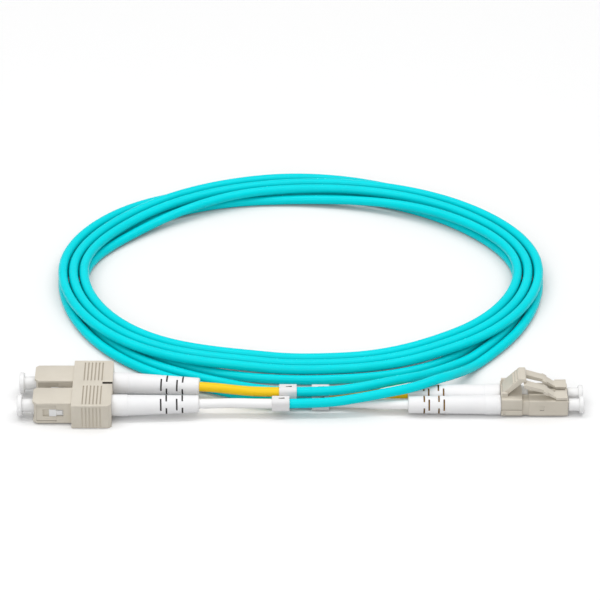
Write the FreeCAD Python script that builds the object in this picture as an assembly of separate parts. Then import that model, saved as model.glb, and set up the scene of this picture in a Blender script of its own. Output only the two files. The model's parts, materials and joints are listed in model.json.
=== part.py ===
import FreeCAD
import Part
import math
import os

V = FreeCAD.Vector
os.makedirs("parts", exist_ok=True)

# Whole cord, millimetres. X runs from the SC plugs (-X) to the LC plugs (+X), Y to the back, Z up.
# The table is Z = 0. Inside each plug, x is counted from the tip of its dust cap towards the cord.
half_length = 86.9
fit = 0.1
slide_gap = 0.05
free_gap = 0.15
post_gap = 0.2
crimp_back = 0.3
slot_floor = 0.8

# Cable
strand_d = 3.0
strand_gap = 0.45
floor_gap = 0.05
sleeve_d = 3.0
sleeve_bore = 1.3
fiber_d = 0.9
fiber_stop = 0.3
ferrule_travel = 0.8

# Coil, outer oval that the outermost upper strand follows. The right half, 0 to 180 degrees from the
# front centre, takes the legs from the SC plugs, the left half those to the LC plugs.
oval_half_x = 77.35
oval_half_y = 59.25
oval_centre_y = 74.15
front_full = (1.9, 3.2)
front_full_end_deg = 88.0
front_full_skew = 0.5
leg_spread = (23.5, 15.0)
leg_part = 1.6
under_front = 2.9
under_reach = (0.80, 0.97)
back_loose = 0.15
back_loose_deg = 40.0
back_tuck = 0.5
corner_tuck = (0.65, 1.2)
coil_start_deg = 45.0
coil_end_deg = 1058.0
turns = 3

# SC plug
sc_pitch = 12.7
sc_axis_z = 4.15
sc_nose_x = 4.9
sc_housing_len = 21.5
sc_housing_w = 9.0
sc_housing_h = 7.4
sc_wall = 0.8
sc_nose_chamfer = 1.2
sc_edge = 0.35
sc_panel_len = 6.2
sc_panel_h = 5.6
sc_panel_deep = 0.3
sc_panel_x = 1.1
sc_window_x = 3.1
sc_window_len = 6.3
sc_window_h = 2.6
sc_travel = 1.8
sc_frame_x = 5.9
sc_frame_len = 17.1
sc_bore_d = 4.9
sc_front_bore_d = 4.5
sc_flange_x = 12.1
sc_flange_len = 2.2
sc_flange_d = 4.7
sc_ferrule_d = 2.499
sc_ferrule_tip = 5.2
sc_tail_d = 1.9
sc_tail_len = 2.6
sc_spring_len = 5.0
sc_spring_wire = 0.4
sc_spring_r = 1.65
sc_spring_turns = 5
sc_cap_flange_d = 6.6
sc_cap_flange_len = 1.5
sc_cap_d = 4.1
sc_cap_end = 11.6
sc_cap_bore = 2.56
sc_post_d = 4.8
sc_post_len = 4.9
sc_post_bore = 2.1
sc_stub_d = 2.8
sc_stub_len = 6.4
sc_crimp_d = 4.2
sc_crimp_len = 5.0
sc_boot_x = 28.6
sc_boot_len = 27.1
sc_boot_d = 6.7
sc_boot_tail_d = 5.3
sc_boot_neck_d = 5.6
sc_boot_straight = 4.6
sc_clip_gap = 0.1
sc_clip_len = 12.2
sc_clip_w = 26.0
sc_clip_h = 8.3
sc_clip_wall = 2.5
sc_clip_hole_d = 7.0
sc_clip_notch_len = 3.1
sc_clip_notch_w = 1.1
sc_slot_x = (44.0, 45.7, 48.9, 50.6)
sc_boot_end_y = (-5.75, 4.6)
sc_boot_end_z = (4.3, 4.0)

# LC plug
lc_pitch = 6.25
lc_axis_z = 3.15
lc_centre_y = -1.3
lc_nose_x = 4.8
lc_housing_len = 12.1
lc_housing_w = 4.52
lc_housing_h = 5.3
lc_collar_len = 2.1
lc_dimple_x = 7.4
lc_dimple_len = 1.3
lc_dimple_deep = 0.2
lc_bore_d = 3.4
lc_flange_x = 10.6
lc_flange_len = 1.9
lc_flange_d = 3.0
lc_front_bore_d = 2.8
lc_cap_spigot_d = 2.5
lc_ferrule_d = 1.249
lc_ferrule_tip = 5.6
lc_tail_d = 1.5
lc_tail_len = 2.0
lc_spring_len = 3.4
lc_spring_wire = 0.3
lc_spring_r = 1.15
lc_spring_turns = 4
lc_cap_flange_d = 5.4
lc_cap_flange_len = 1.4
lc_cap_d = 3.85
lc_cap_end = 10.1
lc_cap_bore = 1.3
lc_post_d = 3.3
lc_body_d = 4.4
lc_collar_d = 5.2
lc_stub_d = 2.4
lc_stub_len = 5.0
lc_crimp_d = 3.6
lc_crimp_len = 4.2
lc_boot_gap = 0.2
lc_boot_len = 28.3
lc_boot_d = 6.15
lc_boot_tail_d = 5.3
lc_boot_neck_d = 4.4
lc_boot_straight = 4.2
lc_clip_len = 6.4
lc_clip_w = 11.25
lc_clip_z = 0.6
lc_clip_top = 6.5
lc_clip_step_z = 2.8
lc_slot_at = (17.3, 18.9, 21.9, 23.4)
lc_latch_w = 2.9
lc_latch_thick = 1.25
lc_latch_foot = (6.4, 6.5)
lc_latch_rise = 4.65
lc_latch_reach = 12.0
lc_trigger_w = 6.8
lc_trigger_ear = 0.9
lc_trigger_pivot_at = (5.4, 7.3)
lc_trigger_tip_at = (-0.4, 12.6)
lc_trigger_lip = 1.2
lc_pin_d = 0.9

# Boots
boot_step = 0.1
boot_round = 0.5
slot_w = 0.5
slot_sweep_deg = 78.0
slot_first_deg = 20.0

# Marker clips
marker_len = 5.4
marker_size = 4.1
marker_round = 1.2
marker_hold = 1.2
sc_marker = ((-6.15, -5.75, 4.4), (-3.95, -1.2, 5.75))
lc_marker = ((6.1, -1.5, 2.05), (6.1, 4.4, 2.05))

# Routes of the stretches that are not coiled, from the plugs to the coil
sc_sleeve_route = (
    ((-20.5, -5.5, 4.5), (-13.5, -5.75, 4.4)),
    ((-20.5, 1.6, 4.7), (-13.2, -1.2, 5.75)),
)
lc_sleeve_route = (
    ((14.0, -1.65, 2.05), (21.0, -3.1, 2.6)),
    ((14.0, 4.3, 2.05), (21.0, 2.9, 2.6)),
)
sc_leg_route = (
    ((6.5, -5.75, 4.4), (17.5, -5.0, 5.8), (27.0, -3.4, 7.0), (35.0, -1.8, 7.8), (42.0, 2.9, 7.8),
     (48.0, 9.2, 5.6)),
    ((7.5, -1.2, 5.75), (17.0, 0.4, 6.1), (25.0, 2.6, 6.5), (32.0, 6.5, 5.6), (38.6, 11.6, 3.6)),
)
lc_leg_route = (
    ((-16.0, 1.9, 1.54), (-5.5, -1.5, 2.05)),
    ((-14.0, 7.0, 1.54), (-4.5, 4.4, 2.05)),
)
leg_lead = 8.5
sleeve_lead = 3.6
sleeve_hold = 9.0

# The LC clip follows the front housing's collar; boots, slots and trigger follow the clip
lc_clip_x = lc_nose_x + lc_housing_len + lc_collar_len
lc_boot_x = lc_clip_x + lc_clip_len + lc_boot_gap
lc_slot_x = [lc_boot_x + at for at in lc_slot_at]
lc_trigger_pivot = (lc_clip_x + lc_trigger_pivot_at[0], lc_trigger_pivot_at[1])
lc_trigger_tip = (lc_clip_x + lc_trigger_tip_at[0], lc_trigger_tip_at[1])

strand_r = strand_d / 2
pass_pitch = strand_d + strand_gap
low_z = strand_r + floor_gap
high_z = low_z + pass_pitch


def box(x0, x1, y0, y1, z0, z1):
    return Part.makeBox(x1 - x0, y1 - y0, z1 - z0, V(x0, y0, z0))


def rod(x0, x1, d, y=0.0, z=0.0):
    return Part.makeCylinder(d / 2, x1 - x0, V(x0, y, z), V(1, 0, 0))


def cone(x0, x1, d0, d1):
    return Part.makeCone(d0 / 2, d1 / 2, x1 - x0, V(x0, 0, 0), V(1, 0, 0))


def edges_along(shape, axis, test=None):
    found = []
    for e in shape.Edges:
        a, b = e.Vertexes[0].Point, e.Vertexes[-1].Point
        d = b - a
        if d.Length > 1e-6 and abs(abs(d.normalize().dot(axis)) - 1) < 1e-6:
            if test is None or test((a + b) * 0.5):
                found.append(e)
    return found


# Coil

def smooth(s):
    s = min(max(s, 0.0), 1.0)
    return s * s * (3 - 2 * s)


def ring(u):
    """Place in the bundle: three strands below, three above, and round its two edges."""
    u = u % (2 * turns)
    middle = (low_z + high_z) / 2
    half = pass_pitch / 2
    if u <= 2:
        return (u - 2) * pass_pitch, low_z
    if u <= 3:
        w = math.pi * (u - 2)
        return half * math.sin(w), middle - half * math.cos(w)
    if u <= 5:
        return (3 - u) * pass_pitch, high_z
    w = math.pi * (u - 5)
    return -2 * pass_pitch - half * math.sin(w), middle + half * math.cos(w)


def fullness(psi, side):
    """How far the front of the coil swells out past its oval."""
    if psi >= front_full_end_deg:
        return 0.0
    w = math.pi * psi / front_full_end_deg
    return front_full[side] * math.sin(w) ** 2 * (1 + front_full_skew * math.cos(w))


def low_offset(place, psi, side):
    """A strand on the table spreads out towards the front, place 0 inside to 2 outside."""
    share = (90.0 - psi) / 90.0
    part = (2 - place) * leg_part
    return (place - 2) * pass_pitch + (leg_spread[side] - part) * share * share


def under_offset(psi, side):
    """The inner strand on the table comes out from under the others and levels off at the front."""
    share = (90.0 - psi) / 90.0
    spread = leg_spread[side] - 2 * leg_part
    reach = under_reach[side]
    turn = (under_front + 2 * pass_pitch) / (spread * reach)
    if share <= turn:
        return -2 * pass_pitch + spread * share * share
    if share >= reach:
        return under_front
    return under_front - spread * turn / (reach - turn) * (reach - share) ** 2


def bundle(strand, angle):
    """Offset out from the oval and height of a strand, by its angle from the front centre."""
    lap = int(angle // 360)
    a = angle - 360 * lap
    psi = min(a, 360 - a)
    side = 0 if a < 180 else 1
    if psi >= 90:
        n, z = ring(2 - strand + 2 * lap + 2 * smooth(((a - 90) / 180.0) ** 1.25))
        w = math.radians(psi - 90)
        loose = 1 + back_loose * smooth((psi - 90) / back_loose_deg)
        corner = corner_tuck[side] * math.sin(2 * w) ** 2 * (1 + math.cos(2 * w))
        return n * loose - corner - back_tuck * math.sin(w) ** 2, z
    full = fullness(psi, side)
    front = lap if a < 90 else lap + 1
    if front in (0, turns):
        return low_offset(2 - strand, psi, side) + full, low_z
    under = under_offset(psi, side)
    if front == 2 and strand == 0:
        return under + full, low_z
    lean = min(max(under, 0.0), pass_pitch)
    top = low_z + math.sqrt(pass_pitch ** 2 - lean ** 2)
    if front == 2:
        return full - 2 * pass_pitch, top
    return full - pass_pitch * (1 - strand), top


def coil_point(strand, angle):
    n, z = bundle(strand, angle)
    t = math.radians(angle - 90)
    out = V(oval_half_y * math.cos(t), oval_half_x * math.sin(t), 0).normalize()
    return V(oval_half_x * math.cos(t), oval_centre_y + oval_half_y * math.sin(t), z) + out * n


def coil_tangent(strand, angle):
    return (coil_point(strand, angle + 3) - coil_point(strand, angle - 3)).normalize()


def arc_edge(p, q, corner):
    """Arc from p to q whose tangents meet in the corner."""
    a = (p - corner)
    b = (q - corner)
    if a.cross(b).Length < 1e-9 * a.Length * b.Length:
        return Part.LineSegment(p, q).toShape(), 1e9
    half = a.getAngle(b) / 2
    r = a.Length * math.tan(half)
    mid = (a.normalize() + b.normalize()).normalize()
    point = corner + mid * (r / math.sin(half) - r)
    return Part.Arc(p, point, q).toShape(), r


def biarc(p0, t0, p1, t1):
    v = p1 - p0
    t = t0 + t1
    k = 2 * (1 - t0.dot(t1))
    d = (-v.dot(t) + math.sqrt(v.dot(t) ** 2 + k * v.dot(v))) / k
    q0 = p0 + t0 * d
    q1 = p1 - t1 * d
    m = (q0 + q1) * 0.5
    return arc_edge(p0, m, q0), arc_edge(m, p1, q1)


def pipe(edges, start, direction, d, bore=0.0):
    wire = Part.Wire(edges)
    across = Part.Wire(Part.makeCircle(d / 2, start, direction))
    shell = Part.BRepOffsetAPI.MakePipeShell(wire)
    shell.add(across)
    shell.build()
    shell.makeSolid()
    solid = shell.shape()
    if bore > 0:
        solid = solid.cut(pipe(edges, start, direction, bore))
    return solid


def gap_to_itself(edges, near):
    """Least distance between centre lines of one tube, past its own neighbourhood."""
    points = []
    run = [0.0]
    for e in edges:
        points += e.discretize(5)[:-1]
    for i in range(1, len(points)):
        run.append(run[-1] + (points[i] - points[i - 1]).Length)
    least = 1e9
    for i in range(len(points)):
        for j in range(i + 1, len(points)):
            if run[j] - run[i] > near:
                least = min(least, (points[i] - points[j]).Length)
    return least


STATIONS = (0, 15, 30, 45, 60, 75, 90, 105, 120, 140, 160, 180,
            200, 220, 240, 255, 270, 285, 300, 315, 330, 345)


def coil_strand(strand):
    angles = [coil_start_deg]
    for lap in range(turns):
        for a in STATIONS:
            if coil_start_deg + 8 < 360 * lap + a < coil_end_deg - 8:
                angles.append(360 * lap + a)
    angles.append(coil_end_deg)
    edges = []
    radii = []
    for a, b in zip(angles[:-1], angles[1:]):
        pieces = biarc(coil_point(strand, a), coil_tangent(strand, a),
                       coil_point(strand, b), coil_tangent(strand, b))
        for edge, r in pieces:
            edges.append(edge)
            radii.append(r)
    solid = pipe(edges, coil_point(strand, angles[0]), coil_tangent(strand, angles[0]), strand_d)
    length = sum(e.Length for e in edges)
    section = math.pi * strand_r ** 2
    gap = gap_to_itself(edges, 12 * strand_d) - strand_d
    print("coil strand", strand, "length %.1f least radius %.1f gap to itself %.2f volume ratio %.4f"
          % (length, min(radii), gap, solid.Volume / (section * length)))
    return solid, edges


def route_tube(points, d, bore=0.0, name=""):
    """Straight runs joined by tangent arcs as large as the runs allow."""
    pts = [V(*p) for p in points]
    edges = []
    radii = []
    last = pts[0]
    for i in range(1, len(pts) - 1):
        a = pts[i - 1] - pts[i]
        b = pts[i + 1] - pts[i]
        cut = 0.45 * min(a.Length, b.Length)
        turn = math.pi - a.getAngle(b)
        radii.append(cut / math.tan(turn / 2))
        p = pts[i] + V(a).normalize() * cut
        q = pts[i] + V(b).normalize() * cut
        edges.append(Part.LineSegment(last, p).toShape())
        edges.append(arc_edge(p, q, pts[i])[0])
        last = q
    edges.append(Part.LineSegment(last, pts[-1]).toShape())
    solid = pipe(edges, pts[0], pts[1] - pts[0], d, bore)
    length = sum(e.Length for e in edges)
    section = math.pi * (d * d - bore * bore) / 4
    runs = [(pts[i + 1] - pts[i]).Length for i in range(len(pts) - 1)]
    print(name, "length %.1f least radius %.1f runs %s volume ratio %.4f"
          % (length, min(radii), " ".join("%.1f" % r for r in runs), solid.Volume / (section * length)))
    return solid


def spring(x0, length, mean_r, wire, coils):
    """Open coil spring along x, on quarter turns."""
    def at(k):
        w = math.pi / 2 * k
        return V(x0 + wire / 2 + (length - wire) * k / (4 * coils), mean_r * math.cos(w), mean_r * math.sin(w))

    def along(k):
        w = math.pi / 2 * k
        rise = (length - wire) / (4 * coils) / (math.pi / 2)
        return V(rise, -mean_r * math.sin(w), mean_r * math.cos(w)).normalize()

    edges = []
    for k in range(4 * coils):
        for edge, r in biarc(at(k), along(k), at(k + 1), along(k + 1)):
            edges.append(edge)
    return pipe(edges, at(0), along(0), wire)


# Dust caps, ferrules and the parts behind them

def dust_cap(flange_d, flange_len, body_d, body_end, spigot_d, end, bore, tip):
    cap = rod(0, flange_len, flange_d)
    cap = cap.makeFillet(0.35, [e for e in cap.Edges if e.BoundBox.XLength < 1e-6])
    cap = cap.fuse(rod(flange_len - 0.5, body_end, body_d))
    cap = cap.fuse(rod(body_end - 0.2, end, spigot_d))
    cap = cap.cut(rod(tip - 1.2, end + 1, bore))
    return cap.removeSplitter()


def ferrule(tip, d, flange_x, flange_len, flange_d, tail_d, tail_len):
    pin = rod(tip, flange_x + 0.5, d)
    rim = [e for e in pin.Edges if e.BoundBox.XMax < tip + 0.01]
    pin = pin.makeChamfer(0.2, rim)
    pin = pin.fuse(rod(flange_x, flange_x + flange_len, flange_d))
    pin = pin.fuse(rod(flange_x + flange_len - 0.2, flange_x + flange_len + tail_len, tail_d))
    return pin.cut(rod(flange_x + fiber_stop, flange_x + flange_len + tail_len + 1, fiber_d + 2 * slide_gap))


def back_post(x0, barrel_d, barrel_len, stub_d, stub_len, bore):
    post = rod(x0, x0 + barrel_len, barrel_d)
    post = post.fuse(rod(x0 + barrel_len - 0.2, x0 + barrel_len + stub_len, stub_d))
    return post.cut(rod(x0 - 1, x0 + barrel_len + stub_len + 1, bore))


def crimp_ring(x0, length, d, bore):
    ring_ = rod(x0, x0 + length, d).cut(rod(x0 - 1, x0 + length + 1, bore))
    for k in (0.3, 0.7):
        band = rod(x0 + k * length - 0.25, x0 + k * length + 0.25, d + 1)
        ring_ = ring_.cut(band.cut(rod(x0, x0 + length, d - 0.2)))
    return ring_


def arc_slots(x, width, inner_d, outer_d, first_deg, sweep_deg, count):
    """Slots through a boot's wall: short arcs round it."""
    slots = []
    for k in range(count):
        mid = first_deg + 360.0 / count * k
        face = Part.makeCylinder(outer_d / 2, width, V(x - width / 2, 0, 0), V(1, 0, 0), sweep_deg)
        face = face.cut(rod(x - width, x + width, inner_d))
        face.rotate(V(0, 0, 0), V(1, 0, 0), mid)
        slots.append(face)
    return slots


def boot(x0, length, d, tail_d, straight, neck_x, neck_d, crimp_end, crimp_d, slot_x, end_y, end_z):
    """Strain relief: a neck in the housing, a straight collar and a tapered tail that leans to end_y, end_z."""
    bend = x0 + straight
    end = x0 + length
    tail = cone(bend - 0.5, end, d - 2 * boot_step, tail_d)
    tail = tail.makeFillet(boot_round, [e for e in tail.Edges if e.BoundBox.XMin > end - 0.01])
    for k, x in enumerate(slot_x):
        for slot in arc_slots(x, slot_w, sleeve_d + slot_floor, d + 1, slot_first_deg + 60 * (k % 2),
                              slot_sweep_deg, 3):
            tail = tail.cut(slot)
    bore = rod(bend - 1, end + 1, sleeve_d + 2 * slide_gap)
    reach = length - straight
    for piece in (tail, bore):
        piece.rotate(V(bend, 0, 0), V(0, 0, 1), math.degrees(math.atan2(end_y, reach)))
        piece.rotate(V(bend, 0, 0), V(0, 1, 0), -math.degrees(math.atan2(end_z, reach)))
    collar = rod(x0, bend + 0.6, d)
    collar = collar.makeFillet(boot_step, [e for e in collar.Edges if e.BoundBox.XMin > bend + 0.5])
    collar = collar.fuse(rod(neck_x, x0 + 0.2, neck_d))
    whole = tail.fuse(collar)
    whole = whole.cut(rod(neck_x - 1, crimp_end, crimp_d + 2 * slide_gap))
    whole = whole.cut(rod(crimp_end - 0.5, bend + 0.8, sleeve_d + slot_floor))
    return whole.cut(bore)


# SC plug

def sc_housing():
    x1 = sc_nose_x + sc_housing_len
    w, h = sc_housing_w / 2, sc_housing_h / 2
    body = box(sc_nose_x, x1, -w, w, -h, h)
    nose = edges_along(body, V(0, 0, 1), lambda m: m.x < sc_nose_x + 0.01)
    body = body.makeChamfer(sc_nose_chamfer, nose)
    body = body.makeFillet(sc_edge, edges_along(body, V(1, 0, 0)))
    body = body.cut(box(sc_nose_x - 1, x1 + 1, -w + sc_wall, w - sc_wall, -h + sc_wall, h - sc_wall))
    for side in (-1, 1):
        y = side * w
        deep = side * (w - sc_panel_deep)
        px = sc_nose_x + sc_panel_x
        body = body.cut(box(px, px + sc_panel_len, min(y, deep), max(y, deep), -sc_panel_h / 2, sc_panel_h / 2))
        wx = sc_nose_x + sc_window_x
        out, inn = side * (w + 1), side * (w - sc_wall - 1)
        window = box(wx, wx + sc_window_len, min(out, inn), max(out, inn), -sc_window_h / 2, sc_window_h / 2)
        body = body.cut(window)
    key = box(sc_nose_x + 6, x1 - 3, -1.2, 1.2, -h - 0.35, -h + 0.1)
    return body.fuse(key)


def sc_frame():
    x0, x1 = sc_frame_x, sc_frame_x + sc_frame_len
    w = sc_housing_w / 2 - sc_wall - fit
    h = sc_housing_h / 2 - sc_wall - fit
    body = box(x0, x1, -w, w, -h, h)
    front = edges_along(body, V(0, 1, 0), lambda m: m.x < x0 + 0.01)
    front += edges_along(body, V(0, 0, 1), lambda m: m.x < x0 + 0.01)
    body = body.makeChamfer(0.4, front)
    bx = sc_nose_x + sc_window_x + sc_travel + free_gap
    for side in (-1, 1):
        tall = (w - 0.2, sc_housing_w / 2 - 0.15)
        low = (w - 0.2, sc_housing_w / 2 - 0.35)
        y0, y1 = sorted((side * tall[0], side * tall[1]))
        body = body.fuse(box(bx, bx + 2.2, y0, y1, -sc_window_h / 2 + free_gap, sc_window_h / 2 - free_gap))
        y0, y1 = sorted((side * low[0], side * low[1]))
        body = body.fuse(box(bx + 2.0, bx + 4.1, y0, y1, -0.75, 0.75))
    body = body.cut(rod(x0 - 1, sc_flange_x, sc_front_bore_d))
    body = body.cut(rod(sc_flange_x - fit, x1 + 1, sc_bore_d))
    return body.removeSplitter()


def sc_clip():
    """Duplex clip: a cover round both housings, with a rear wall and a hole for each boot."""
    x1 = sc_nose_x + sc_housing_len + sc_clip_gap + sc_clip_wall
    x0 = x1 - sc_clip_len
    w = sc_clip_w / 2
    body = box(x0, x1, -w, w, 0, sc_clip_h)
    corner = edges_along(body, V(0, 0, 1), lambda m: m.x > x1 - 0.01)
    body = body.makeChamfer(1.0, corner)
    body = body.makeFillet(0.4, edges_along(body, V(1, 0, 0)))
    for y in (-sc_pitch / 2, sc_pitch / 2):
        hw = sc_housing_w / 2 + slide_gap
        hh = sc_housing_h / 2 + slide_gap
        body = body.cut(box(x0 - 1, x1 - sc_clip_wall, y - hw, y + hw, sc_axis_z - hh, sc_axis_z + hh))
        key = box(x0 - 1, x1 - sc_clip_wall, y - 1.3, y + 1.3, sc_axis_z - hh - 0.36, sc_axis_z)
        body = body.cut(key)
        body = body.cut(rod(x0, x1 + 1, sc_clip_hole_d, y, sc_axis_z))
    groove_pitch = 1.1
    for k in range(6):
        gx = x0 + 3.2 + groove_pitch * k
        for y0, y1 in ((-w + 0.9, -1.6), (1.4, w - 1.4)):
            body = body.cut(box(gx, gx + 0.4, y0, y1, sc_clip_h - 0.28, sc_clip_h + 1))
        for side in (-1, 1):
            y0, y1 = sorted((side * (w - 0.3), side * (w + 1)))
            body = body.cut(box(gx, gx + 0.4, y0, y1, 0.8, sc_clip_h - 0.8))
    notch_x = x1 - sc_clip_notch_len
    half = sc_clip_notch_w / 2
    notch = box(notch_x, x1 + 1, -half, half, sc_clip_h - 2.2, sc_clip_h + 1)
    return body.cut(notch)


# LC plug

def lc_housing(front_one):
    x0, x1 = lc_nose_x, lc_nose_x + lc_housing_len
    w, h = lc_housing_w / 2, lc_housing_h / 2
    body = box(x0, x1, -w, w, -h, h)
    nose = edges_along(body, V(0, 0, 1), lambda m: m.x < x0 + 0.01)
    nose += edges_along(body, V(0, 1, 0), lambda m: m.x < x0 + 0.01)
    body = body.makeChamfer(0.35, nose)
    body = body.makeFillet(0.25, edges_along(body, V(1, 0, 0)))
    if front_one:
        collar = box(x1 - 0.2, x1 + lc_collar_len, -w + 0.2, w - 0.2, -h + 0.3, h - 0.25)
        body = body.fuse(collar)
    body = body.cut(rod(x0 - 1, lc_flange_x, lc_front_bore_d))
    body = body.cut(rod(lc_flange_x - fit, x1 + 4, lc_bore_d))
    for y in (-w - 1 + lc_dimple_deep, w - lc_dimple_deep):
        dimple = box(x0 + lc_dimple_x, x0 + lc_dimple_x + lc_dimple_len, y, y + 1, -0.8, 0.9)
        body = body.cut(dimple)
    return body


def lc_latch():
    """Lever that rises from its foot on the nose towards the trigger; it bends where the foot ends."""
    px, pz = lc_latch_foot
    top = pz + lc_latch_rise
    end = px + lc_latch_reach
    half = lc_latch_w / 2
    outline = [
        (px - 1.2, pz - 0.4), (px + 2.3, pz - 0.4), (px + 4.9, pz + 1.0), (px + 6.3, pz + 1.9),
        (end, top - lc_latch_thick), (end + 0.2, top - 0.3), (end - 0.5, top), (px + 6.1, pz + 2.95),
        (px + 4.9, pz + 2.1), (px + 2.7, pz + 0.55), (px - 1.2, pz + 0.5),
    ]
    wire = Part.makePolygon([V(x, -half, z) for x, z in outline + outline[:1]])
    arm = Part.Face(wire).extrude(V(0, lc_latch_w, 0))
    wide = lc_housing_w / 2 - 0.15
    band = [(px + 4.8, pz + 1.05), (px + 6.2, pz + 1.9), (px + 6.2, pz + 2.9), (px + 4.8, pz + 2.0)]
    wire = Part.makePolygon([V(x, -wide, z) for x, z in band + band[:1]])
    shoulder = Part.Face(wire).extrude(V(0, 2 * wide, 0))
    foot = box(px - 1.2, px + 2.3, -wide, wide, pz - 0.4, pz + 0.5)
    return arm.fuse(shoulder).fuse(foot).removeSplitter()


def lc_clip():
    """Duplex clip of the LC pair, with the ears of the trigger on top."""
    x0, x1 = lc_clip_x, lc_clip_x + lc_clip_len
    w = lc_clip_w / 2
    body = box(x0, x1, -w, w, lc_clip_z, lc_clip_top)
    body = body.makeFillet(0.4, edges_along(body, V(1, 0, 0)))
    for side in (-1, 1):
        y0, y1 = sorted((side * (w - 0.18), side * (w + 1)))
        body = body.cut(box(x0 - 1, x1 + 1, y0, y1, lc_clip_step_z - 0.15, lc_clip_step_z + 0.15))
        body = body.cut(box(x1 - 1.3, x1 - 0.6, y0, y1, lc_clip_z + 0.6, lc_clip_step_z - 0.4))
    for y in (-lc_pitch / 2, lc_pitch / 2):
        body = body.cut(rod(x0 - 1, x1 + 1, lc_body_d + 2 * slide_gap, y, lc_axis_z))
    px, pz = lc_trigger_pivot
    near = lc_trigger_w / 2 + free_gap
    for side in (-1, 1):
        y0, y1 = sorted((side * near, side * (near + lc_trigger_ear)))
        ear = box(px - 0.9, px + 0.8, y0, y1, lc_clip_top - 0.3, pz + 0.8)
        body = body.fuse(ear)
    hole = lc_pin_d / 2 + slide_gap
    body = body.cut(Part.makeCylinder(hole, lc_clip_w + 2, V(px, -w - 1, pz), V(0, 1, 0)))
    return body.removeSplitter()


def lc_trigger():
    """Press lever over both latches: ramp, finger ribs and a lip that reaches down to the latch ends."""
    px, pz = lc_trigger_pivot
    tx, tz = lc_trigger_tip
    low = tz - lc_trigger_lip
    outline = [
        (px + 0.5, pz - 0.4), (px + 0.35, pz + 0.35), (tx + 1.2, tz), (tx - 0.5, tz), (tx - 0.8, tz - 0.4),
        (tx - 0.8, low), (tx + 0.3, low), (px - 0.9, pz - 0.3), (px - 0.4, pz - 0.4),
    ]
    half = lc_trigger_w / 2
    wire = Part.makePolygon([V(x, -half, z) for x, z in outline + outline[:1]])
    lever = Part.Face(wire).extrude(V(0, lc_trigger_w, 0))
    top = V(tx + 1.2, 0, tz)
    slope = (V(px + 0.35, 0, pz + 0.35) - top).normalize()
    for k in range(3):
        c = top + slope * (0.5 + 1.1 * k)
        bar = Part.makeCylinder(0.28, lc_trigger_w - 0.8, V(c.x, -half + 0.4, c.z), V(0, 1, 0))
        lever = lever.fuse(bar)
    pin_half = half + free_gap + lc_trigger_ear
    return lever.fuse(Part.makeCylinder(lc_pin_d / 2, 2 * pin_half, V(px, -pin_half, pz), V(0, 1, 0)))


def marker():
    """Clip round the end of a sleeve and of a strand."""
    half = marker_size / 2
    body = box(-marker_len / 2, marker_len / 2, -half, half, -half, half)
    body = body.makeFillet(marker_round, edges_along(body, V(1, 0, 0)))
    body = body.cut(rod(-marker_len, marker_len, strand_d + 2 * slide_gap))
    slit = box(-0.6, 1.2, -0.3, 0.3, half - 0.35, half + 1)
    return body.cut(slit)


nodes = {}


def keep(name, shape):
    nodes[name] = shape
    shape.exportStep("parts/" + name + ".step")


def place_sc(shape, y):
    out = shape.copy()
    out.translate(V(-half_length, y, sc_axis_z))
    return out


def place_lc(shape, y):
    out = shape.copy()
    out.rotate(V(0, 0, 0), V(0, 0, 1), 180)
    out.translate(V(half_length, lc_centre_y + y, lc_axis_z))
    return out


def build_sc():
    post_x = sc_flange_x + sc_flange_len + sc_spring_len + post_gap
    stub_end = post_x + sc_post_len + sc_stub_len
    crimp_x = stub_end - sc_crimp_len - crimp_back
    for i, letter in enumerate("ab"):
        y = (-1 if i == 0 else 1) * sc_pitch / 2
        name = "sc_" + letter + "_"
        keep(name + "housing", place_sc(sc_housing(), y))
        keep(name + "frame", place_sc(sc_frame(), y))
        keep(name + "ferrule", place_sc(ferrule(sc_ferrule_tip, sc_ferrule_d, sc_flange_x, sc_flange_len,
                                                sc_flange_d, sc_tail_d, sc_tail_len), y))
        coil = spring(sc_flange_x + sc_flange_len + slide_gap, sc_spring_len, sc_spring_r,
                      sc_spring_wire, sc_spring_turns)
        keep(name + "spring", place_sc(coil, y))
        keep(name + "back_post", place_sc(back_post(post_x, sc_post_d, sc_post_len, sc_stub_d, sc_stub_len,
                                                    sc_post_bore), y))
        keep(name + "crimp", place_sc(crimp_ring(crimp_x, sc_crimp_len, sc_crimp_d,
                                                 sc_stub_d + 2 * slide_gap), y))
        keep(name + "cap", place_sc(dust_cap(sc_cap_flange_d, sc_cap_flange_len, sc_cap_d, sc_cap_end - 0.1,
                                             sc_cap_d - 0.2, sc_cap_end, sc_cap_bore, sc_ferrule_tip), y))
        tail = boot(sc_boot_x, sc_boot_len, sc_boot_d, sc_boot_tail_d, sc_boot_straight,
                    post_x + sc_post_len + 0.2, sc_boot_neck_d, stub_end + 0.5, sc_crimp_d,
                    sc_slot_x, sc_boot_end_y[i] - y, sc_boot_end_z[i] - sc_axis_z)
        keep(name + "boot", place_sc(tail, y))
    clip = sc_clip_world()
    keep("sc_clip", clip)
    return stub_end


def sc_clip_world():
    clip = sc_clip()
    clip.translate(V(-half_length, 0, 0))
    return clip


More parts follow.
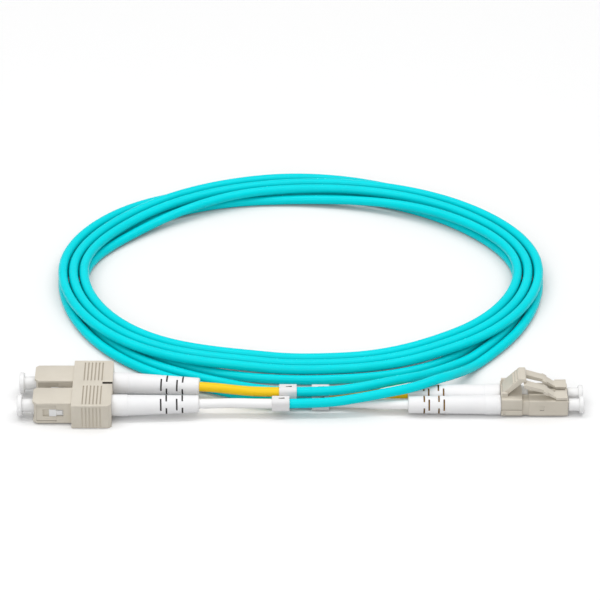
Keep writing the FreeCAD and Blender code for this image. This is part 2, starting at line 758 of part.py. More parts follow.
def build_lc():
    post_x = lc_flange_x + lc_flange_len + lc_spring_len + post_gap
    body_x = lc_nose_x + lc_housing_len + 0.15
    for i, letter in enumerate("ab"):
        y = (-1 if i == 0 else 1) * lc_pitch / 2
        name = "lc_" + letter + "_"
        keep(name + "housing", place_lc(lc_housing(i == 0), y))
        keep(name + "ferrule", place_lc(ferrule(lc_ferrule_tip, lc_ferrule_d, lc_flange_x, lc_flange_len,
                                                lc_flange_d, lc_tail_d, lc_tail_len), y))
        coil = spring(lc_flange_x + lc_flange_len + slide_gap, lc_spring_len, lc_spring_r,
                      lc_spring_wire, lc_spring_turns)
        keep(name + "spring", place_lc(coil, y))
        if i == 0:
            body_x = lc_clip_x + 0.1
        else:
            body_x = lc_nose_x + lc_housing_len + 0.1
        post = rod(post_x, body_x + 0.5, lc_post_d)
        post = post.fuse(rod(body_x, lc_clip_x + 4.6, lc_body_d))
        if i == 1:
            post = post.fuse(rod(body_x, lc_clip_x - 0.1, lc_collar_d))
        post = post.fuse(rod(lc_clip_x + 4.4, lc_clip_x + 4.6 + lc_stub_len, lc_stub_d))
        post = post.cut(rod(post_x - 1, lc_clip_x + 5 + lc_stub_len, lc_tail_d + 0.3))
        keep(name + "back_post", place_lc(post, y))
        stub_end = lc_clip_x + 4.6 + lc_stub_len
        crimp_x = stub_end - lc_crimp_len - crimp_back
        keep(name + "crimp", place_lc(crimp_ring(crimp_x, lc_crimp_len, lc_crimp_d,
                                                 lc_stub_d + 2 * slide_gap), y))
        keep(name + "cap", place_lc(dust_cap(lc_cap_flange_d, lc_cap_flange_len, lc_cap_d, lc_nose_x - 0.25,
                                             lc_cap_spigot_d, lc_cap_end, lc_cap_bore, lc_ferrule_tip), y))
        tail = boot(lc_boot_x, lc_boot_len, lc_boot_d, lc_boot_tail_d, lc_boot_straight, lc_clip_x + 4.8,
                    lc_boot_neck_d, stub_end + 0.5, lc_crimp_d, lc_slot_x, 0.0, 0.0)
        keep(name + "boot", place_lc(tail, y))
        latch = lc_latch()
        latch.translate(V(0, 0, -lc_axis_z))
        keep(name + "latch", place_lc(latch, y))
    clip = lc_clip()
    lever = lc_trigger()
    for name, shape in (("lc_clip", clip), ("lc_trigger", lever)):
        shape.rotate(V(0, 0, 0), V(0, 0, 1), 180)
        shape.translate(V(half_length, lc_centre_y, 0))
        keep(name, shape)
    return stub_end


def build_cords(sc_end, lc_end):
    for i, letter in enumerate("ab"):
        for side, shape_marker in (("sc", sc_marker[i]), ("lc", lc_marker[i])):
            clip = marker()
            clip.translate(V(*shape_marker))
            keep(side + "_" + letter + "_marker", clip)
        sc_y = (-1 if i == 0 else 1) * sc_pitch / 2
        bend = V(-half_length + sc_boot_x + sc_boot_straight, sc_y, sc_axis_z)
        tail = V(-half_length + sc_boot_x + sc_boot_len, sc_boot_end_y[i], sc_boot_end_z[i])
        mx, my, mz = sc_marker[i]
        along = (tail - bend).normalize()
        inside = tail - along * sleeve_hold
        leave = tuple(tail + along * sleeve_lead)
        join_x = mx - marker_len / 2 + marker_hold
        sleeve = [tuple(inside), leave] + list(sc_sleeve_route[i]) + [(join_x, my, mz)]
        keep("sc_" + letter + "_sleeve", route_tube(sleeve, sleeve_d, sleeve_bore, "sc sleeve " + letter))
        start = (-half_length + sc_flange_x + fiber_stop + ferrule_travel + fit, sc_y, sc_axis_z)
        fiber = [start, tuple(bend), leave] + list(sc_sleeve_route[i]) + [(join_x, my, mz)]
        keep("sc_" + letter + "_fiber", route_tube(fiber, fiber_d, 0.0, "sc fiber " + letter))
        first = coil_point(i, coil_start_deg)
        lead = first - coil_tangent(i, coil_start_deg) * leg_lead
        leg = [(join_x + 0.3, my, mz)] + list(sc_leg_route[i]) + [tuple(lead), tuple(first)]
        keep("sc_" + letter + "_leg", route_tube(leg, strand_d, 0.0, "sc leg " + letter))

        lc_y = lc_centre_y + (-1 if i == 0 else 1) * lc_pitch / 2
        tail = V(half_length - lc_boot_x - lc_boot_len, lc_y, lc_axis_z)
        mx, my, mz = lc_marker[i]
        join_x = mx + marker_len / 2 - marker_hold
        leave = (tail.x - sleeve_lead - 1, lc_y, lc_axis_z)
        inside = (tail.x + sleeve_hold, lc_y, lc_axis_z)
        sleeve = [(join_x, my, mz)] + list(lc_sleeve_route[i]) + [leave, inside]
        keep("lc_" + letter + "_sleeve", route_tube(sleeve, sleeve_d, sleeve_bore, "lc sleeve " + letter))
        end = (half_length - lc_flange_x - fiber_stop - ferrule_travel - fit, lc_y, lc_axis_z)
        fiber = [(join_x, my, mz)] + list(lc_sleeve_route[i]) + [leave, end]
        keep("lc_" + letter + "_fiber", route_tube(fiber, fiber_d, 0.0, "lc fiber " + letter))
        last = coil_point(i, coil_end_deg)
        lead = last + coil_tangent(i, coil_end_deg) * leg_lead
        leg = [tuple(last), tuple(lead)] + list(lc_leg_route[i]) + [(join_x - 0.3, my, mz)]
        keep("lc_" + letter + "_leg", route_tube(leg, strand_d, 0.0, "lc leg " + letter))

        solid, edges = coil_strand(i)
        keep("coil_strand_" + letter, solid)


build_cords(build_sc(), build_lc())
for name in sorted(nodes):
    s = nodes[name]
    if not s.isValid() or len(s.Solids) != 1:
        print("CHECK", name, "valid", s.isValid(), "solids", len(s.Solids))
print(len(nodes), "nodes")
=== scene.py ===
import json
import math
import bpy
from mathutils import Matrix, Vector


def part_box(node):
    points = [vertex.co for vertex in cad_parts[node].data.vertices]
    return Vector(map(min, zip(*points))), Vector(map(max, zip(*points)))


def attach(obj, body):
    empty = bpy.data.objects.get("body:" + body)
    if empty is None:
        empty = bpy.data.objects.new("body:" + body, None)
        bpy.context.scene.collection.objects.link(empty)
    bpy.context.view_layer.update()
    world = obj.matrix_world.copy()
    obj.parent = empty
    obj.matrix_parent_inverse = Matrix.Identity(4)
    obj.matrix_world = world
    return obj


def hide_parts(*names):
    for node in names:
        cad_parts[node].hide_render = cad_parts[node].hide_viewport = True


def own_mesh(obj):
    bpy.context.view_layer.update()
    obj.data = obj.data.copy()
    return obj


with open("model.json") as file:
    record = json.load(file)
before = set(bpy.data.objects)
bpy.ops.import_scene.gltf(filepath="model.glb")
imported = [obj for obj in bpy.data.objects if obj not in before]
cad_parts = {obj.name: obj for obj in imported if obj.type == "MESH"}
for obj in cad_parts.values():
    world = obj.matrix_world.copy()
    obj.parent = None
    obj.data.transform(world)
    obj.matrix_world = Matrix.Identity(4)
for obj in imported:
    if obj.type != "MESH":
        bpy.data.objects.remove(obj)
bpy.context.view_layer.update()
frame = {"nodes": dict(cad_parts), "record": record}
bpy.ops.object.select_all(action="DESELECT")

# A duplex patch cord on a table at z = 0. The SC plugs point to -X and the LC plugs to +X, and the coil lies
# behind them, at +Y. The part's sizes are in millimetres and degrees, and its points and routes in metres.
MM = 0.001

# Cable
STRAND_D = 3.0
STRAND_GAP = 0.45
FLOOR_GAP = 0.05
PASS_PITCH = STRAND_D + STRAND_GAP
LOW_Z = STRAND_D / 2 + FLOOR_GAP
HIGH_Z = LOW_Z + PASS_PITCH
SLEEVE_D = 3.0

# Coil, whose outermost upper strand follows an oval. Angles run from the front centre, to the right first.
# Of a pair, the first value is for the right side, where the legs of the SC plugs come in, and the second for
# the left side, where those of the LC plugs go out.
TURNS = 3
COIL_START = 45.0
COIL_END = 1058.0
POINTS_PER_TURN = 36
TANGENT_STEP = 3.0
OVAL_HALF_X = 77.35
OVAL_HALF_Y = 59.25
OVAL_CENTRE_Y = 74.15

# Front of the coil: how far it swells out past the oval, the angle from the centre where the swell ends, and
# how much more of it lies towards the centre
FRONT_FULL = (1.9, 3.2)
FRONT_FULL_END = 88.0
FRONT_FULL_SKEW = 0.5

# How far the outer strand on the table spreads out by the front centre, how much less each one further in
# does, and how far from the coil's end a leg has a point in line with it
LEG_SPREAD = (23.5, 15.0)
LEG_PART = 1.6
LEG_LEAD = 8.5

# How far out past the oval the strand beneath the others comes, and at which share of the way from the side
# to the front centre it levels off
UNDER_FRONT = 2.9
UNDER_REACH = (0.80, 0.97)

# Back of the coil: how late the strands swap places, the share by which the bundle is wider and the angle
# over which it widens, and how far its middle and its corners are drawn in
BACK_SWAP_LAG = 1.25
BACK_LOOSE = 0.15
BACK_LOOSE_OVER = 40.0
BACK_TUCK = 0.5
CORNER_TUCK = (0.65, 1.2)

# Legs, between the markers and the coil. The SC legs run to the coil and the LC legs away from it. The
# length, in metres, is that of a whole strand.
LEG_ROUTE = {
    "sc_a": ((0.0065, -0.00575, 0.0044), (0.0175, -0.0050, 0.0058), (0.0270, -0.0034, 0.0070),
             (0.0350, -0.0018, 0.0078), (0.0420, 0.0029, 0.0078), (0.0480, 0.0092, 0.0056)),
    "sc_b": ((0.0075, -0.0012, 0.00575), (0.0170, 0.0004, 0.0061), (0.0250, 0.0026, 0.0065),
             (0.0320, 0.0065, 0.0056), (0.0386, 0.0116, 0.0036)),
    "lc_a": ((-0.0160, 0.0019, 0.00154), (-0.0055, -0.0015, 0.00205)),
    "lc_b": ((-0.0140, 0.0070, 0.00154), (-0.0045, 0.0044, 0.00205)),
}

# Sleeves, from the boots to the markers, and their lengths in metres. Each starts inside its boot, held over
# this length, and runs straight on out of it as far as its lead.
SLEEVE_HOLD = 9.0
SLEEVE_LEAD = {"sc": 3.6, "lc": 4.6}
SLEEVE_ROUTE = {
    "sc_a": ((-0.0205, -0.0055, 0.0045), (-0.0135, -0.00575, 0.0044)),
    "sc_b": ((-0.0205, 0.0016, 0.0047), (-0.0132, -0.0012, 0.00575)),
    "lc_a": ((0.0210, -0.0031, 0.0026), (0.0140, -0.00165, 0.00205)),
    "lc_b": ((0.0210, 0.0029, 0.0026), (0.0140, 0.0043, 0.00205)),
}
SLEEVE_SLOT = {"a": "white_tube", "b": "yellow_tube"}

# How far a sleeve's end and a strand's end are from the marker's end on the plug's side
SLEEVE_REACH = 1.2
STRAND_REACH = 1.5

# Boots: each tail runs from the end of the collar to the boot's end and tapers from one radius to the other.
# The slots through its wall lie in a share of its length.
BOOT_TAIL = {
    "sc_a": (Vector((-0.0537, -0.00635, 0.00415)), Vector((-0.0312, -0.00575, 0.0043))),
    "sc_b": (Vector((-0.0537, 0.00635, 0.00415)), Vector((-0.0312, 0.0046, 0.0040))),
    "lc_a": (Vector((0.0571, -0.004425, 0.00315)), Vector((0.0330, -0.004425, 0.00315))),
    "lc_b": (Vector((0.0571, 0.001825, 0.00315)), Vector((0.0330, 0.001825, 0.00315))),
}
BOOT_RADII = {"sc": (3.25, 2.65), "lc": (2.975, 2.65)}
SLOTTED_SHARE = (0.1, 0.97)

# Rounded edges, with their width on the pieces that two plugs share and on each plug's own. Corners of a
# shape within SAME_SPOT of each other are one.
EDGE_SEGMENTS = 2
EDGE_ANGLE = 32.0
SMOOTH_ANGLE = 35.0
SAME_SPOT = 0.002
SHARED_EDGE = {"sc_clip": 0.12, "lc_clip": 0.12, "lc_trigger": 0.14}
PLUG_EDGE = {
    "sc": {"housing": 0.12, "frame": 0.08, "cap": 0.10, "boot": 0.06, "marker": 0.12},
    "lc": {"housing": 0.10, "latch": 0.12, "cap": 0.08, "boot": 0.06, "marker": 0.12},
}

# Cuts whose inner faces get painted shade, a darker colour where shadow falls. Each limit is a little past
# # the cut, and a thin skin over it keeps the finish of the outside.
SLOT_SKIN = 0.1
GROOVE_DEEP = 0.32
GROOVE_SKIN = 0.03
GROOVE_FROM_END = 3.0
GROOVE_FROM_SIDE = 0.6
NOTCH_LEN = 3.2
NOTCH_HALF_W = 0.62
NOTCH_DEEP = 2.3
NOTCH_SKIN = 0.05
SLIT_HALF_LEN = 1.5
SLIT_HALF_W = 0.35
SLIT_DEEP = 0.6
SLIT_SKIN = 0.15

# Steps and shallow cuts that show from the front, whose walls get painted shade: the node, which shade, and,
# # from the node's lowest corner, where each one is along x, how far it goes back, and where it is in height
SIDE_CUTS = (
    ("lc_a_housing", "notch", (5.4, 6.9), 0.285, (1.7, 3.7)),
    ("lc_a_housing", "rim", (2.0, 2.3), 4.585, (0.1, 5.4)),
    ("lc_clip", "rim", (0.6, 1.5), 0.225, (0.5, 1.9)),
    ("lc_clip", "rim", (-0.1, 6.5), 0.225, (2.0, 2.4)),
    ("sc_a_housing", "rim", (1.0, 7.4), 0.35, (1.2, 6.9)),
)
CUT_SLACK = 0.02

# The side of an SC frame between the front of the window and the catch, from the housing's front end
BEIGE_SPAN = (2.8, 4.95)

# A face whose normal has more than this along y faces the front or the back
FACING = 0.5


# Coil formula

def smooth(s):
    """Ease from 0 to 1."""
    s = min(max(s, 0.0), 1.0)
    return s * s * (3 - 2 * s)


def ring(u):
    """Offset and height of a place in the bundle: 0 to 2 go out on the table, and 3 to 5 back in on top."""
    u = u % (2 * TURNS)
    middle = (LOW_Z + HIGH_Z) / 2
    half = PASS_PITCH / 2
    if u <= 2:
        return (u - 2) * PASS_PITCH, LOW_Z
    if u <= 3:
        w = math.pi * (u - 2)
        return half * math.sin(w), middle - half * math.cos(w)
    if u <= 5:
        return (3 - u) * PASS_PITCH, HIGH_Z
    w = math.pi * (u - 5)
    return -2 * PASS_PITCH - half * math.sin(w), middle + half * math.cos(w)


def fullness(psi, side):
    """How far the front of the coil swells out past its oval."""
    if psi >= FRONT_FULL_END:
        return 0.0
    w = math.pi * psi / FRONT_FULL_END
    return FRONT_FULL[side] * math.sin(w) ** 2 * (1 + FRONT_FULL_SKEW * math.cos(w))


def low_offset(place, psi, side):
    """A strand on the table spreads out towards the front, place 0 inside to 2 outside."""
    share = (90.0 - psi) / 90.0
    part = (2 - place) * LEG_PART
    return (place - 2) * PASS_PITCH + (LEG_SPREAD[side] - part) * share * share


def under_offset(psi, side):
    """The inner strand on the table comes out from under the others and levels off."""
    share = (90.0 - psi) / 90.0
    spread = LEG_SPREAD[side] - 2 * LEG_PART
    reach = UNDER_REACH[side]
    turn = (UNDER_FRONT + 2 * PASS_PITCH) / (spread * reach)
    if share <= turn:
        return -2 * PASS_PITCH + spread * share * share
    if share >= reach:
        return UNDER_FRONT
    return UNDER_FRONT - spread * turn / (reach - turn) * (reach - share) ** 2


def bundle(strand, angle):
    """Offset out from the oval and height of a strand; psi is its angle from the front centre, either way."""
    lap = int(angle // 360)
    a = angle - 360 * lap
    psi = min(a, 360 - a)
    side = 0 if a < 180 else 1
    if psi >= 90:
        # Round the back, a strand moves on by two places in each lap
        n, z = ring(2 - strand + 2 * lap + 2 * smooth(((a - 90) / 180.0) ** BACK_SWAP_LAG))
        w = math.radians(psi - 90)
        loose = 1 + BACK_LOOSE * smooth((psi - 90) / BACK_LOOSE_OVER)
        corner = CORNER_TUCK[side] * math.sin(2 * w) ** 2 * (1 + math.cos(2 * w))
        return n * loose - corner - BACK_TUCK * math.sin(w) ** 2, z
    full = fullness(psi, side)
    front = lap if a < 90 else lap + 1
    # The first and the last pass of the front spread out on the table, towards the legs
    if front in (0, TURNS):
        return low_offset(2 - strand, psi, side) + full, LOW_Z
    under = under_offset(psi, side)
    if front == 2 and strand == 0:
        return under + full, LOW_Z
    # The strands on top sink as the one beneath them moves aside
    lean = min(max(under, 0.0), PASS_PITCH)
    top = LOW_Z + math.sqrt(PASS_PITCH ** 2 - lean ** 2)
    if front == 2:
        return full - 2 * PASS_PITCH, top
    return full - PASS_PITCH * (1 - strand), top


def coil_point(strand, angle):
    n, z = bundle(strand, angle)
    t = math.radians(angle - 90)
    out = Vector((OVAL_HALF_Y * math.cos(t), OVAL_HALF_X * math.sin(t), 0)).normalized()
    spot = Vector((OVAL_HALF_X * math.cos(t), OVAL_CENTRE_Y + OVAL_HALF_Y * math.sin(t), z))
    return (spot + out * n) * MM


def coil_tangent(strand, angle):
    return (coil_point(strand, angle + TANGENT_STEP) - coil_point(strand, angle - TANGENT_STEP)).normalized()


# Materials

def moulded_skin():
    """Skin of a moulding: broad clouds of a darker colour, and a fine grain in height and roughness."""
    group = bpy.data.node_groups.new("moulded_skin", "ShaderNodeTree")
    sockets = (
        ("INPUT", "Color", ("Base", "Dark")),
        ("INPUT", "Float", ("Cloud Scale", "Grain Scale", "Rough Low", "Rough High")),
        ("OUTPUT", "Color", ("Color",)),
        ("OUTPUT", "Float", ("Rough", "Height")),
    )
    for in_out, kind, labels in sockets:
        for label in labels:
            group.interface.new_socket(label, in_out=in_out, socket_type="NodeSocket" + kind)
    nodes, link = group.nodes, group.links.new
    given, out = nodes.new("NodeGroupInput"), nodes.new("NodeGroupOutput")
    coord = nodes.new("ShaderNodeTexCoord")
    cloud = nodes.new("ShaderNodeTexNoise")
    cloud.inputs["Detail"].default_value = 3.0
    grain = nodes.new("ShaderNodeTexNoise")
    grain.inputs["Detail"].default_value = 2.0
    contrast = nodes.new("ShaderNodeMapRange")
    contrast.inputs["From Min"].default_value = 0.3
    contrast.inputs["From Max"].default_value = 0.7
    tone = nodes.new("ShaderNodeMix")
    tone.data_type = "RGBA"
    rough = nodes.new("ShaderNodeMapRange")
    link(coord.outputs["Object"], cloud.inputs["Vector"])
    link(coord.outputs["Object"], grain.inputs["Vector"])
    link(given.outputs["Cloud Scale"], cloud.inputs["Scale"])
    link(given.outputs["Grain Scale"], grain.inputs["Scale"])
    link(cloud.outputs["Fac"], contrast.inputs["Value"])
    link(contrast.outputs["Result"], tone.inputs["Factor"])
    link(given.outputs["Base"], tone.inputs["A"])
    link(given.outputs["Dark"], tone.inputs["B"])
    link(grain.outputs["Fac"], rough.inputs["Value"])
    link(given.outputs["Rough Low"], rough.inputs["To Min"])
    link(given.outputs["Rough High"], rough.inputs["To Max"])
    link(tone.outputs["Result"], out.inputs["Color"])
    link(rough.outputs["Result"], out.inputs["Rough"])
    link(grain.outputs["Fac"], out.inputs["Height"])
    return group


SKIN = moulded_skin()
GRAIN_HEIGHT = 0.2


def new_material(name):
    mat = bpy.data.materials.new(name)
    mat.use_nodes = True
    return mat


def shader_of(mat):
    return mat.node_tree.nodes["Principled BSDF"]


def moulded(name, base, dark, cloud=180.0, grain=2600.0, rough=(0.38, 0.52), bump=0.05, spec=0.4):
    """Plastic with a moulded skin; cloud and grain are scales per metre."""
    mat = new_material(name)
    shader, nodes, link = shader_of(mat), mat.node_tree.nodes, mat.node_tree.links.new
    skin = nodes.new("ShaderNodeGroup")
    skin.node_tree = SKIN
    skin.inputs["Base"].default_value = (*base, 1)
    skin.inputs["Dark"].default_value = (*dark, 1)
    skin.inputs["Cloud Scale"].default_value = cloud
    skin.inputs["Grain Scale"].default_value = grain
    skin.inputs["Rough Low"].default_value = rough[0]
    skin.inputs["Rough High"].default_value = rough[1]
    height = nodes.new("ShaderNodeBump")
    height.inputs["Strength"].default_value = bump
    height.inputs["Distance"].default_value = GRAIN_HEIGHT * MM
    link(skin.outputs["Color"], shader.inputs["Base Color"])
    link(skin.outputs["Rough"], shader.inputs["Roughness"])
    link(skin.outputs["Height"], height.inputs["Height"])
    link(height.outputs["Normal"], shader.inputs["Normal"])
    shader.inputs["Specular IOR Level"].default_value = spec
    return mat


def metal(name, base, dark, rough):
    mat = moulded(name, base, dark, rough=rough)
    shader_of(mat).inputs["Metallic"].default_value = 1.0
    return mat


def cap_plastic():
    """Clear plastic of the dust caps, as cloudy as it looks over a white floor."""
    mat = moulded("cap_clear", (0.98, 0.98, 0.98), (0.96, 0.96, 0.96), cloud=300.0,
                  rough=(0.16, 0.26), bump=0.02)
    shader_of(mat).inputs["Transmission Weight"].default_value = 0.10
    shader_of(mat).inputs["IOR"].default_value = 1.46
    return mat


def bounce_mix(mat, bounced):
    """A mix for Base Color: A is the colour as seen, and B colours the light that the surface sends on."""
    nodes, link = mat.node_tree.nodes, mat.node_tree.links.new
    path = nodes.new("ShaderNodeLightPath")
    mix = nodes.new("ShaderNodeMix")
    mix.data_type = "RGBA"
    mix.inputs["B"].default_value = (*bounced, 1)
    link(path.outputs["Is Diffuse Ray"], mix.inputs["Factor"])
    link(mix.outputs["Result"], shader_of(mat).inputs["Base Color"])
    return mix


def cable_jacket():
    """Aqua jacket, which tints the floor and its neighbours less than it is coloured itself."""
    mat = moulded("jacket_aqua", (0.0, 0.76, 0.83), (0.0, 0.72, 0.79), cloud=90.0, grain=900.0,
                  rough=(0.22, 0.30), bump=0.01, spec=0.09)
    seen = shader_of(mat).inputs["Base Color"].links[0].from_socket
    mix = bounce_mix(mat, bounced=(0.10, 0.54, 0.57))
    mat.node_tree.links.new(seen, mix.inputs["A"])
    return mat


# Finish of each material slot in the record
MATERIALS = {
    "beige_plastic": moulded("plug_beige", (0.685, 0.635, 0.545), (0.65, 0.60, 0.51), rough=(0.40, 0.55)),
    "white_plastic": moulded("body_white", (0.88, 0.88, 0.87), (0.84, 0.84, 0.84)),
    "white_rubber": moulded("boot_white", (0.90, 0.90, 0.905), (0.88, 0.88, 0.89), rough=(0.42, 0.58)),
    "clear_plastic": cap_plastic(),
    "white_tube": moulded("tube_white", (0.95, 0.95, 0.95), (0.93, 0.93, 0.93), rough=(0.30, 0.42)),
    "yellow_tube": moulded("tube_yellow", (0.98, 0.66, 0.010), (0.96, 0.62, 0.008), rough=(0.30, 0.42),
                           spec=0.25),
    "marker_plastic": moulded("marker_white", (0.83, 0.825, 0.83), (0.80, 0.795, 0.80)),
    "aqua_jacket": cable_jacket(),
    "ceramic": moulded("ferrule_ceramic", (0.86, 0.85, 0.82), (0.83, 0.82, 0.79), rough=(0.10, 0.18)),
    "buffer": moulded("fiber_buffer", (0.80, 0.72, 0.48), (0.76, 0.68, 0.44)),
    "spring_steel": metal("spring_steel", (0.56, 0.57, 0.58), (0.48, 0.49, 0.50), rough=(0.25, 0.40)),
    "crimp_metal": metal("crimp_brass", (0.78, 0.62, 0.34), (0.70, 0.54, 0.28), rough=(0.28, 0.42)),
}

# Painted shade: darker colours for the faces inside grooves, steps, notches, slits and boot slots, where
# # shadow falls. The LC boots' slots get painted shade tinted gold-brown.
SHADES = {
    "groove": moulded("groove_painted_shade", (0.50, 0.45, 0.37), (0.46, 0.41, 0.33), spec=0.1),
    "rim": moulded("rim_painted_shade", (0.30, 0.27, 0.22), (0.27, 0.24, 0.20), spec=0.1),
    "notch": moulded("notch_painted_shade", (0.10, 0.085, 0.07), (0.08, 0.07, 0.06), spec=0.1),
    "sc_slot": moulded("slot_grey", (0.13, 0.12, 0.12), (0.09, 0.085, 0.085), spec=0.1),
    "lc_slot": moulded("lc_slot_painted_shade", (0.44, 0.27, 0.08), (0.32, 0.19, 0.06), spec=0.1),
}


# Making, dressing and placing a piece

# Each node's material slot and body in the record, and the new piece that stands for it
SLOT_OF = {part["node"]: part["material_slot"] for part in frame["record"]["subparts"]}
BODY_OF = {node: body for body, members in frame["record"]["behaviour"]["bodies"].items() for node in members}
made = {}


def put(name, data):
    """A new object at the origin of the scene."""
    piece = bpy.data.objects.new(name, data)
    bpy.context.scene.collection.objects.link(piece)
    return piece


def dress(piece, slot):
    """Give a piece the finish of a slot."""
    piece.data.materials.clear()
    piece.data.materials.append(MATERIALS[slot])


def stand_for(piece, node):
    """The piece takes the place of a node: its finish and its body."""
    dress(piece, SLOT_OF[node])
    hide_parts(node)
    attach(piece, BODY_OF[node])
    made[node] = piece


def select_only(piece):
    bpy.ops.object.select_all(action="DESELECT")
    bpy.context.view_layer.objects.active = piece
    piece.select_set(True)


def merged_copy(node):
    """A copy of a node's shape with its loose triangles joined, selected."""
    piece = put(node + "_skin", frame["nodes"][node].data.copy())
    select_only(piece)
    bpy.ops.object.mode_set(mode="EDIT")
    bpy.ops.mesh.select_all(action="SELECT")
    bpy.ops.mesh.remove_doubles(threshold=SAME_SPOT * MM)
    bpy.ops.object.mode_set(mode="OBJECT")
    return piece


# Rigid pieces: the node's shape with its edges rounded

def soften(node, width):
    piece = merged_copy(node)
    edge = piece.modifiers.new("edge", "BEVEL")
    edge.width = width * MM
    edge.segments = EDGE_SEGMENTS
    edge.limit_method = "ANGLE"
    edge.angle_limit = math.radians(EDGE_ANGLE)
    edge.miter_outer = "MITER_ARC"
    bpy.ops.object.modifier_apply(modifier="edge")
    bpy.ops.object.shade_smooth_by_angle(angle=math.radians(SMOOTH_ANGLE))
    stand_for(piece, node)


for node, width in SHARED_EDGE.items():
    soften(node, width)
for plug, edges in PLUG_EDGE.items():
    for letter in "ab":
        for part, width in edges.items():
            soften("%s_%s_%s" % (plug, letter, part), width)


# Springs

def ferrule_spring(node):
    """A spring: the node's shape with its loose triangles joined and shaded smooth, as a piece with a mesh of
    its own.
    """
    piece = merged_copy(node)
    bpy.ops.object.shade_smooth_by_angle(angle=math.radians(SMOOTH_ANGLE))
    stand_for(piece, node)
    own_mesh(piece)


for joint in frame["record"]["behaviour"]["joints"]:
    for spring in joint.get("deforming_nodes", []):
        ferrule_spring(spring["node"])


# Painted shade inside the cuts, and the beige of the SC frames' sides

def box_mm(node):
    return [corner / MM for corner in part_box(node)]


def paint(node, finish, inside):
    """A second material on the faces of a piece whose centre, in millimetres, and normal pass a test; used
    for painted shade in cuts and for the beige of the SC frames' sides.
    """
    piece = made[node]
    piece.data.materials.append(finish)
    index = len(piece.data.materials) - 1
    for face in piece.data.polygons:
        if inside(face.center / MM, face.normal):
            face.material_index = index


def between(low, high):
    """A test for faces with their centre between two corners."""
    def inside(centre, normal):
        return all(a < c < b for a, c, b in zip(low, centre, high))
    return inside


def shade_boot_slots(key):
    """Painted shade in the slots of a boot's tail, found from its taper: on what lies deeper in its wall than
    the skin.
    """
    bend, tail = (point / MM for point in BOOT_TAIL[key])
    along = tail - bend
    near, far = BOOT_RADII[key[:2]]
    first, last = SLOTTED_SHARE

    def inside(centre, normal):
        share = (centre - bend).dot(along) / along.dot(along)
        off = (centre - bend - along * share).length
        return first < share < last and off < near + (far - near) * share - SLOT_SKIN

    paint(key + "_boot", SHADES[key[:2] + "_slot"], inside)


def frame_side(key):
    """The side of an SC frame, which shows in the housing's window, is beige in front of the catch."""
    front = box_mm(key + "_housing")[0].x
    start, end = (front + along for along in BEIGE_SPAN)
    select_only(made[key + "_frame"])
    bpy.ops.object.mode_set(mode="EDIT")
    for x in start, end:
        bpy.ops.mesh.select_all(action="SELECT")
        bpy.ops.mesh.bisect(plane_co=(x * MM, 0, 0), plane_no=(1, 0, 0))
    bpy.ops.object.mode_set(mode="OBJECT")

    def inside(centre, normal):
        return start < centre.x < end and abs(normal.y) > FACING

    paint(key + "_frame", MATERIALS["beige_plastic"], inside)


def shade_side_cut(node, shade, along, deep, up):
    """Painted shade on the walls of a step or a shallow cut in a node's front side."""
    corner = box_mm(node)[0]
    slack = Vector((CUT_SLACK, CUT_SLACK, CUT_SLACK))
    low = corner + Vector((along[0], 0, up[0])) - slack
    high = corner + Vector((along[1], deep, up[1])) + slack
    within = between(low, high)

    def inside(centre, normal):
        return within(centre, normal) and abs(normal.y) < FACING

    paint(node, SHADES[shade], inside)


def shade_marker_slit(key):
    """Painted shade in the slit in the top of a marker."""
    low, high = box_mm(key + "_marker")
    x, y, z = (low + high) / 2
    near = (x - SLIT_HALF_LEN, y - SLIT_HALF_W, high.z - SLIT_DEEP)
    far = (x + SLIT_HALF_LEN, y + SLIT_HALF_W, high.z - SLIT_SKIN)
    paint(key + "_marker", SHADES["notch"], between(near, far))


def shade_clip_grooves():
    """Painted shade in the finger grooves in the top of the SC clip."""
    low, high = box_mm("sc_clip")
    near = (low.x + GROOVE_FROM_END, low.y + GROOVE_FROM_SIDE, high.z - GROOVE_DEEP)
    far = (high.x - GROOVE_FROM_END, high.y - GROOVE_FROM_SIDE, high.z - GROOVE_SKIN)
    paint("sc_clip", SHADES["groove"], between(near, far))


def shade_clip_notch():
    """Painted shade in the notch between the halves of the SC clip, open at the back."""
    high = box_mm("sc_clip")[1]
    near = (high.x - NOTCH_LEN, -NOTCH_HALF_W, high.z - NOTCH_DEEP)
    far = (high.x + NOTCH_SKIN, NOTCH_HALF_W, high.z - NOTCH_SKIN)
    paint("sc_clip", SHADES["notch"], between(near, far))


for key in BOOT_TAIL:
    shade_boot_slots(key)
    shade_marker_slit(key)
for key in "sc_a", "sc_b":
    frame_side(key)
for cut in SIDE_CUTS:
    shade_side_cut(*cut)
shade_clip_grooves()
shade_clip_notch()

# The nodes that keep their own shape
for name, node in frame["nodes"].items():
    if name not in made:
        dress(node, SLOT_OF[name])


# Cords

SPLINE_ORDER = 3
SPLINE_STEPS = 6
ROUND_STEPS = 7


def cable(name, points, diameter, slot):
    """A smooth round cable along control points."""
    data = bpy.data.curves.new(name, "CURVE")
    data.dimensions = "3D"
    spline = data.splines.new("NURBS")
    spline.points.add(len(points) - 1)
    for place, p in zip(spline.points, points):
        place.co = (*p, 1.0)
    spline.order_u = SPLINE_ORDER
    spline.use_endpoint_u = True
    data.resolution_u = SPLINE_STEPS
    data.bevel_depth = diameter * MM / 2
    data.bevel_resolution = ROUND_STEPS
    data.use_fill_caps = True
    piece = put(name, data)
    dress(piece, slot)
    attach(piece, "root")
    return piece


def in_marker(key, reach):
    """The point on a marker's axis that far from its end on the plug's side."""
    low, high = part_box(key + "_marker")
    middle = (low + high) / 2
    x = low.x + reach * MM if key.startswith("sc") else high.x - reach * MM
    return Vector((x, middle.y, middle.z))


